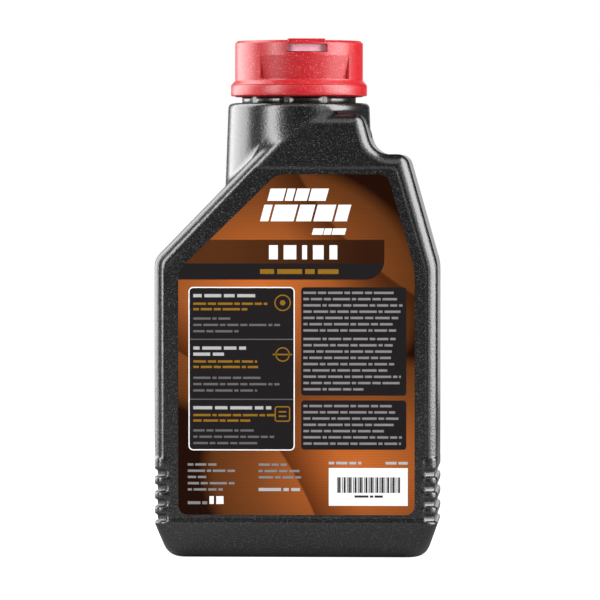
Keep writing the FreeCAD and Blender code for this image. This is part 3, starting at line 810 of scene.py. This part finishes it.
def build_mouth_tube():
    """Collar with lugs, bead and threaded mouth, and the well inside the neck."""
    def lugged(angle):
        step = 2.0 * math.pi / LUG_COUNT
        off = abs((angle + step / 2.0) % step - step / 2.0)
        edge = math.radians(1.2)
        return COLLAR_RADIUS + LUG_PROUD * float(smooth_step(
            LUG_HALF_ANGLE + edge, LUG_HALF_ANGLE - edge, off))

    def threaded(height):
        def radius(angle):
            crest = 0.0
            for turn in range(-1, 3):
                along = turn + angle / (2.0 * math.pi)
                if not 0.0 <= along <= THREAD_TURNS:
                    continue
                fade = min(along, THREAD_TURNS - along) / THREAD_FADE
                off = abs(height - THREAD_BOTTOM - THREAD_PITCH * along)
                crest = max(crest, min(fade, 1.0) * float(
                    smooth_step(THREAD_HALF, THREAD_CREST_HALF, off)))
            return FINISH_RADIUS + THREAD_PROUD * crest
        return radius

    profile = [(COLLAR_RADIUS, NECK_TOP - 0.5), (lugged, NECK_TOP), (lugged, LUG_TOP - 0.2),
               (COLLAR_RADIUS, LUG_TOP), (COLLAR_RADIUS, COLLAR_TOP), (BEAD_RADIUS, COLLAR_TOP),
               (BEAD_RADIUS, COLLAR_TOP + 0.4), (FINISH_RADIUS, BEAD_TOP)]
    thread_low, thread_high = BEAD_TOP + 0.5, LIP - 0.8
    for i in range(THREAD_ROWS + 1):
        height = thread_low + (thread_high - BEAD_TOP - 0.5) * i / THREAD_ROWS
        profile.append((threaded(height), height))
    profile += [(FINISH_RADIUS, LIP - 0.5), (FINISH_RADIUS - 0.5, LIP),
                (MOUTH_RADIUS + 0.3, LIP), (MOUTH_RADIUS, LIP - 0.3),
                (MOUTH_RADIUS, NECK_TOP - 1.6), (NECK_RADIUS - WALL, NECK_TOP - 1.6),
                (NECK_RADIUS - WALL, NECK_BOTTOM), (WELL_RADIUS, NECK_BOTTOM - WELL_DROP),
                (WELL_RADIUS, PUSH_UP + WALL), (0.05, PUSH_UP + WALL)]
    points, faces = spun(profile)
    tube = new_piece("mouth_tube", points, faces, BLACK, "bottle_body")
    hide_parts("bottle")


def build_band():
    """The break-off band, with rounded edges and an inner lip that curls under."""
    outer, inner = BAND_HIGH.x, BAND_BORE
    low, high = BAND_BOTTOM, max(BAND_HIGH.z, CAP_LOW.z - BAND_GAP)
    lip = low - BAND_LIP_DROP
    profile = [(inner, COLLAR_TOP), (inner, low - 0.15), (inner + 0.6, lip),
               (outer - 1.9, lip), (outer - 1.5, low), (outer - 0.35, low),
               (outer - 0.1, low + 0.1), (outer, low + 0.35), (outer, high - 0.2),
               (outer - 0.15, high), (BAND_RECESS, high), (BAND_RECESS, COLLAR_TOP),
               (inner, COLLAR_TOP)]
    points, faces = spun(profile)
    band = new_piece("break_band", points, faces, RED, "bottle_body")
    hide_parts("tamper_band")


def dress(name, material):
    """A node of the frame keeps its shape and gets a material."""
    for slot in nodes[name].material_slots:
        slot.material = material


build_skin()
build_mouth_tube()
build_band()
dress("bottle", BLACK)
dress("cap", RED)
dress("tamper_band", RED)
dress("inner_seal", MILKY)
dress("back_label", FILM)


# Print on the label: fields of colour, lines of plain bars and simple marks

FEATURE_LEFT, FEATURE_RIGHT = -44.0, -0.35
FEATURE_LOW, FEATURE_HIGH = 44.4, 111.5
FEATURE_TEXT = -42.0
FRAME_LINE = 0.45
NOTE_LEFT, NOTE_RIGHT = 2.3, 45.4
NOTE_TEXT = 3.2
NOTE_WIDTHS = (37.0, 38.4, 40.6, 39.8, 38.9, 36.6, 38.0)
LOWER_WIDTHS = (37.8, 36.6, 36.2, 35.9, 37.2, 34.4, 40.0, 39.4, 24.6)
LAST_WIDTHS = (36.2, 37.6, 39.0, 37.0, 33.0, 40.4, 40.0)
TEXT_PITCH = 2.57
STRIP_RIGHT = 36.4
STRIP_LOW, STRIP_SPLIT, STRIP_HIGH = 114.5, 121.1, 130.8
PAST_EDGE = 60.0
FOOT_TEXT = -44.3
SECOND_TEXT = -15.2
CODE_LEFT, CODE_RIGHT = 13.6, 46.0


def print_fields():
    """The strip under the title, split in two tones, and the three dark fields."""
    strip = rounded_loop(((-PAST_EDGE, STRIP_LOW, 0.0), (STRIP_RIGHT, STRIP_LOW, 8.0),
                          (STRIP_RIGHT, STRIP_HIGH, 0.0), (-PAST_EDGE, STRIP_HIGH, 0.0)))
    upper = clipped(block(-PAST_EDGE, PAST_EDGE, STRIP_SPLIT, 131.0), strip)
    lower = clipped(block(-PAST_EDGE, PAST_EDGE, 114.0, STRIP_SPLIT), strip)
    print_ink("brown_strip", [clipped(upper, LABEL_LOOP)], BROWN_GLAZE, FIELD_LAYER)
    fields = [clipped(lower, LABEL_LOOP)]
    fields.append(rounded_block(FEATURE_LEFT, FEATURE_RIGHT, FEATURE_LOW, FEATURE_HIGH, 2.0))
    fields.append(rounded_block(NOTE_LEFT, NOTE_RIGHT, 67.0, 111.4, 1.3))
    fields.append(rounded_block(NOTE_LEFT, NOTE_RIGHT, 44.8, 65.0, 1.3))
    print_ink("charcoal_fields", fields, CHARCOAL_INK, FIELD_LAYER)


def title_blocks():
    """Leaning blocks where a title stands, in rows of uneven width."""
    rows = (
        (-11.6, 146.8, 5.0, (6.4, 3.2, 5.2, 7.0)),
        (-14.6, 138.4, 6.8, (3.4, 9.4, 6.2, 7.6, 5.2)),
        (6.6, 132.9, 2.6, (4.4, 3.0, 5.4)),
    )
    blocks = []
    for left, low, height, widths in rows:
        x = left
        for width in widths:
            blocks.append(block(x, x + width, low, low + height, 0.27 * height))
            x += width + 0.14 * height
    return blocks


def print_white():
    """The frame of the feature list, the title's blocks and the fields in pure white."""
    outer = rounded_block(FEATURE_LEFT, FEATURE_RIGHT, FEATURE_LOW, FEATURE_HIGH, 2.0)
    inner = rounded_block(FEATURE_LEFT + FRAME_LINE, FEATURE_RIGHT - FRAME_LINE,
                          FEATURE_LOW + FRAME_LINE, FEATURE_HIGH - FRAME_LINE,
                          2.0 - FRAME_LINE)
    shapes = ring_of(outer, inner)
    shapes += title_blocks()
    x = -10.9
    for width in (3.6, 5.2, 2.0, 4.4, 3.2):
        shapes.append(block(x, x + width, 122.8, 128.6))
        x += width + 2.4
    shapes.append(block(CODE_LEFT, CODE_RIGHT, 21.8, 37.3))
    shapes += [block(-35.4, -33.6, 22.4, 25.6), block(-32.6, -29.6, 22.4, 25.6)]
    print_ink("white_print", shapes, WHITE_INK, TEXT_LAYER)


def print_headings():
    """Heading lines of the list, of the second text and over the code field."""
    shapes = []
    for width, middle in ((25.4, 107.9), (21.6, 86.4), (12.6, 83.9), (32.0, 61.9)):
        shapes += words(FEATURE_TEXT, FEATURE_TEXT + width, middle, 1.3, int(width), 1.5)
    shapes += words(SECOND_TEXT, 1.8, 28.4, 1.3, 2, 1.3)
    shapes += words(CODE_LEFT, 27.0, 39.3, 1.1, 1) + words(36.8, CODE_RIGHT, 39.3, 1.1, 4)
    print_ink("heading_print", shapes, HEADING_INK, TEXT_LAYER)


def print_pale():
    """Small text of the two dark notes and along the foot of the label."""
    shapes = paragraph(NOTE_TEXT, NOTE_WIDTHS, 109.1, TEXT_PITCH, 0.95, 0)
    shapes += paragraph(NOTE_TEXT, LOWER_WIDTHS, 90.2, 2.58, 0.95, 2)
    shapes += paragraph(NOTE_TEXT, LAST_WIDTHS, 62.7, TEXT_PITCH, 0.95, 5)
    shapes += paragraph(FOOT_TEXT, (11.8, 19.4, 7.6, 19.2, 14.4), 38.6, 2.56, 0.95, 1)
    shapes += paragraph(SECOND_TEXT, (11.6, 16.8, 17.4), 38.6, 2.6, 0.95, 4)
    shapes += words(FOOT_TEXT, -36.3, 22.9, 1.2, 0)
    print_ink("pale_print", shapes, PALE_INK, TEXT_LAYER)


def print_grey():
    """Dim text of the feature list and the two lines that part it."""
    shapes = []
    for first, widths in ((98.5, (15.2, 35.6, 18.6)), (74.2, (27.6, 35.4, 26.2)),
                          (52.6, (24.8, 33.2, 26.2))):
        shapes += paragraph(FEATURE_TEXT, widths, first, 2.6, 0.9, int(first))
    for middle in (90.0, 65.4):
        shapes.append(block(FEATURE_LEFT + FRAME_LINE, FEATURE_RIGHT - FRAME_LINE,
                            middle - 0.2, middle + 0.2))
    print_ink("grey_print", shapes, GREY_INK, TEXT_LAYER)


def gold_marks():
    """A ring with a dot, a ring with a bar through it and a framed pair of bars."""
    marks = ring_of(round_outline(-5.3, 105.0, 3.4), round_outline(-5.3, 105.0, 2.9))
    marks.append(round_outline(-5.3, 105.0, 1.1))
    marks += ring_of(round_outline(-5.3, 83.8, 3.0), round_outline(-5.3, 83.8, 2.5))
    marks.append(block(-9.4, -1.4, 83.5, 84.1))
    marks += ring_of(rounded_block(-8.6, -2.2, 56.2, 62.6, 1.0),
                     rounded_block(-8.1, -2.7, 56.7, 62.1, 0.5))
    marks += [block(-7.0, -3.8, 60.0, 60.6), block(-7.0, -3.8, 58.2, 58.8)]
    return marks


def print_gold():
    """Gold text of the feature list, its marks and the line in the dark strip."""
    shapes = gold_marks()
    for first, widths in ((104.6, (30.4, 22.2)), (80.9, (26.2, 26.6)), (58.9, (33.4, 23.4))):
        shapes += paragraph(FEATURE_TEXT, widths, first, 2.25, 0.95, int(first))
    shapes += words(-14.6, 17.6, 117.8, 2.0, 3, 1.7)
    print_ink("gold_print", shapes, GOLD_INK, TEXT_LAYER)


def print_bars():
    """Upright bars of a till code, on their white field."""
    shapes = []
    x = 17.0
    index = 0
    while x < 42.4:
        width = 0.27 * (1 + (index * index + index) % 3)
        shapes.append(block(x, x + width, 27.1, 33.5))
        x += width + 0.16 * (1 + (3 * index + index * index // 2) % 3)
        index += 1
    shapes += words(24.2, 35.8, 25.6, 0.9, 2, 0.8)
    print_ink("code_bars", shapes, DARK_INK, CODE_LAYER)


print_fields()
print_white()
print_headings()
print_pale()
print_grey()
print_gold()
print_bars()


# Stage, lights and camera, in metres

MIDDLE_HEIGHT = 0.11
CAMERA_WHITE = 1.0
AMBIENT = 0.03


def stage_piece(name, corners, material):
    """A four-cornered piece of the stage."""
    mesh = bpy.data.meshes.new(name)
    mesh.from_pydata(corners, [], [(0, 1, 2, 3)])
    mesh.materials.append(material)
    piece = bpy.data.objects.new(name, mesh)
    bpy.context.scene.collection.objects.link(piece)


def floor_white():
    """Pale floor: white to the camera where light falls on it, a little less in shadow."""
    material, tree, shader = new_material("floor_white")
    shader.inputs["Base Color"].default_value = (0.28, 0.28, 0.28, 1.0)
    shader.inputs["Roughness"].default_value = 0.9
    shader.inputs["Specular IOR Level"].default_value = 0.0
    seen = add(tree, "ShaderNodeLightPath")
    light = add(tree, "ShaderNodeEmission", Strength=0.94)
    both = add(tree, "ShaderNodeAddShader")
    mix = add(tree, "ShaderNodeMixShader")
    tree.links.new(shader.outputs["BSDF"], both.inputs[0])
    tree.links.new(light.outputs["Emission"], both.inputs[1])
    tree.links.new(seen.outputs["Is Camera Ray"], mix.inputs["Fac"])
    tree.links.new(shader.outputs["BSDF"], mix.inputs[1])
    tree.links.new(both.outputs["Shader"], mix.inputs[2])
    tree.links.new(mix.outputs["Shader"], tree.nodes["Material Output"].inputs["Surface"])
    return material


def backdrop_white():
    """Backdrop: white in reflections, dim to diffuse light, and clear to the camera."""
    material, tree, shader = new_material("backdrop_white")
    shader.inputs["Base Color"].default_value = (0.4, 0.4, 0.4, 1.0)
    seen = add(tree, "ShaderNodeLightPath")
    mirrored = combine(tree, "MAXIMUM", seen.outputs["Is Glossy Ray"],
                       seen.outputs["Is Transmission Ray"])
    light = add(tree, "ShaderNodeEmission", Strength=CAMERA_WHITE)
    clear = add(tree, "ShaderNodeBsdfTransparent")
    white = add(tree, "ShaderNodeMixShader")
    tree.links.new(mirrored, white.inputs["Fac"])
    tree.links.new(shader.outputs["BSDF"], white.inputs[1])
    tree.links.new(light.outputs["Emission"], white.inputs[2])
    mix = add(tree, "ShaderNodeMixShader")
    tree.links.new(seen.outputs["Is Camera Ray"], mix.inputs["Fac"])
    tree.links.new(white.outputs["Shader"], mix.inputs[1])
    tree.links.new(clear.outputs["BSDF"], mix.inputs[2])
    tree.links.new(mix.outputs["Shader"], tree.nodes["Material Output"].inputs["Surface"])
    return material


def build_stage():
    """A wide floor, and a narrow backdrop that the rims and the neck mirror."""
    reach, back, half, high = 3.0, 1.6, 0.45, 1.2
    stage_piece("floor", [(-reach, -reach, 0.0), (reach, -reach, 0.0),
                          (reach, back, 0.0), (-reach, back, 0.0)], floor_white())
    stage_piece("backdrop", [(-half, back, 0.0), (half, back, 0.0),
                             (half, back, high), (-half, back, high)], backdrop_white())


def build_world():
    """White to the camera, nearly dark to everything else."""
    world = bpy.data.worlds.new("studio")
    bpy.context.scene.world = world
    world.use_nodes = True
    tree = world.node_tree
    ground = tree.nodes["Background"]
    ground.inputs["Color"].default_value = (1.0, 1.0, 1.0, 1.0)
    ground.inputs["Strength"].default_value = AMBIENT
    white = add(tree, "ShaderNodeBackground", Color=(1.0, 1.0, 1.0, 1.0), Strength=CAMERA_WHITE)
    seen = add(tree, "ShaderNodeLightPath")
    mix = add(tree, "ShaderNodeMixShader")
    tree.links.new(seen.outputs["Is Camera Ray"], mix.inputs["Fac"])
    tree.links.new(ground.outputs["Background"], mix.inputs[1])
    tree.links.new(white.outputs["Background"], mix.inputs[2])
    tree.links.new(mix.outputs["Shader"], tree.nodes["World Output"].inputs["Surface"])


def area_light(name, place, aim, width, height, power):
    """An oblong lamp that looks at a point."""
    lamp = bpy.data.lights.new(name, "AREA")
    lamp.shape = "RECTANGLE"
    lamp.size = width
    lamp.size_y = height
    lamp.energy = power
    light = bpy.data.objects.new(name, lamp)
    light.location = place
    light.rotation_euler = (Vector(aim) - Vector(place)).to_track_quat("-Z", "Y").to_euler()
    bpy.context.scene.collection.objects.link(light)


def turned_place(azimuth, elevation, distance):
    """A place round the bottle: azimuth 0 is in front of the label, positive to the right."""
    turn, rise = math.radians(azimuth), math.radians(elevation)
    return (distance * math.cos(rise) * math.sin(turn),
            -distance * math.cos(rise) * math.cos(turn),
            MIDDLE_HEIGHT + distance * math.sin(rise))


def tall_box(name, azimuth, distance, width, height, radiance):
    """An upright soft box that stands on the floor round the bottle."""
    x, y, _ = turned_place(azimuth, 0.0, distance)
    middle = height / 2.0
    area_light(name, (x, y, middle), (0.0, 0.0, middle), width, height,
               radiance * math.pi * width * height)


def build_lights():
    """Wide boxes on both sides, a narrow one front left, a weak one front right, a key above."""
    tall_box("left_box", -113.0, 0.9, 0.96, 1.9, 5.6)
    tall_box("right_box", 77.0, 0.9, 0.74, 1.9, 8.2)
    tall_box("narrow_box", -41.0, 1.0, 0.34, 1.2, 9.5)
    tall_box("right_fill", 40.0, 1.1, 0.40, 0.9, 1.5)
    area_light("key_box", turned_place(8.0, 55.0, 1.3), (0.0, 0.0, MIDDLE_HEIGHT),
               0.9, 0.8, 2.5)


def build_camera():
    """Looks at the labelled face from a little to its right, from 2.3 m."""
    distance, height = 2.338, 0.1561
    width_seen = 0.249
    sensor = 36.0
    turn = math.radians(2.7)
    aim = Vector((0.0004, 0.0, 0.1055))
    place = Vector((distance * math.sin(turn), -distance * math.cos(turn), height))
    data = bpy.data.cameras.new("camera")
    data.sensor_width = sensor
    data.lens = sensor * distance / width_seen
    camera = bpy.data.objects.new("camera", data)
    camera.location = place
    camera.rotation_euler = (aim - place).to_track_quat("-Z", "Y").to_euler()
    bpy.context.scene.collection.objects.link(camera)
    bpy.context.scene.camera = camera


build_stage()
build_world()
build_lights()
build_camera()
bpy.context.scene.view_settings.view_transform = "Standard"
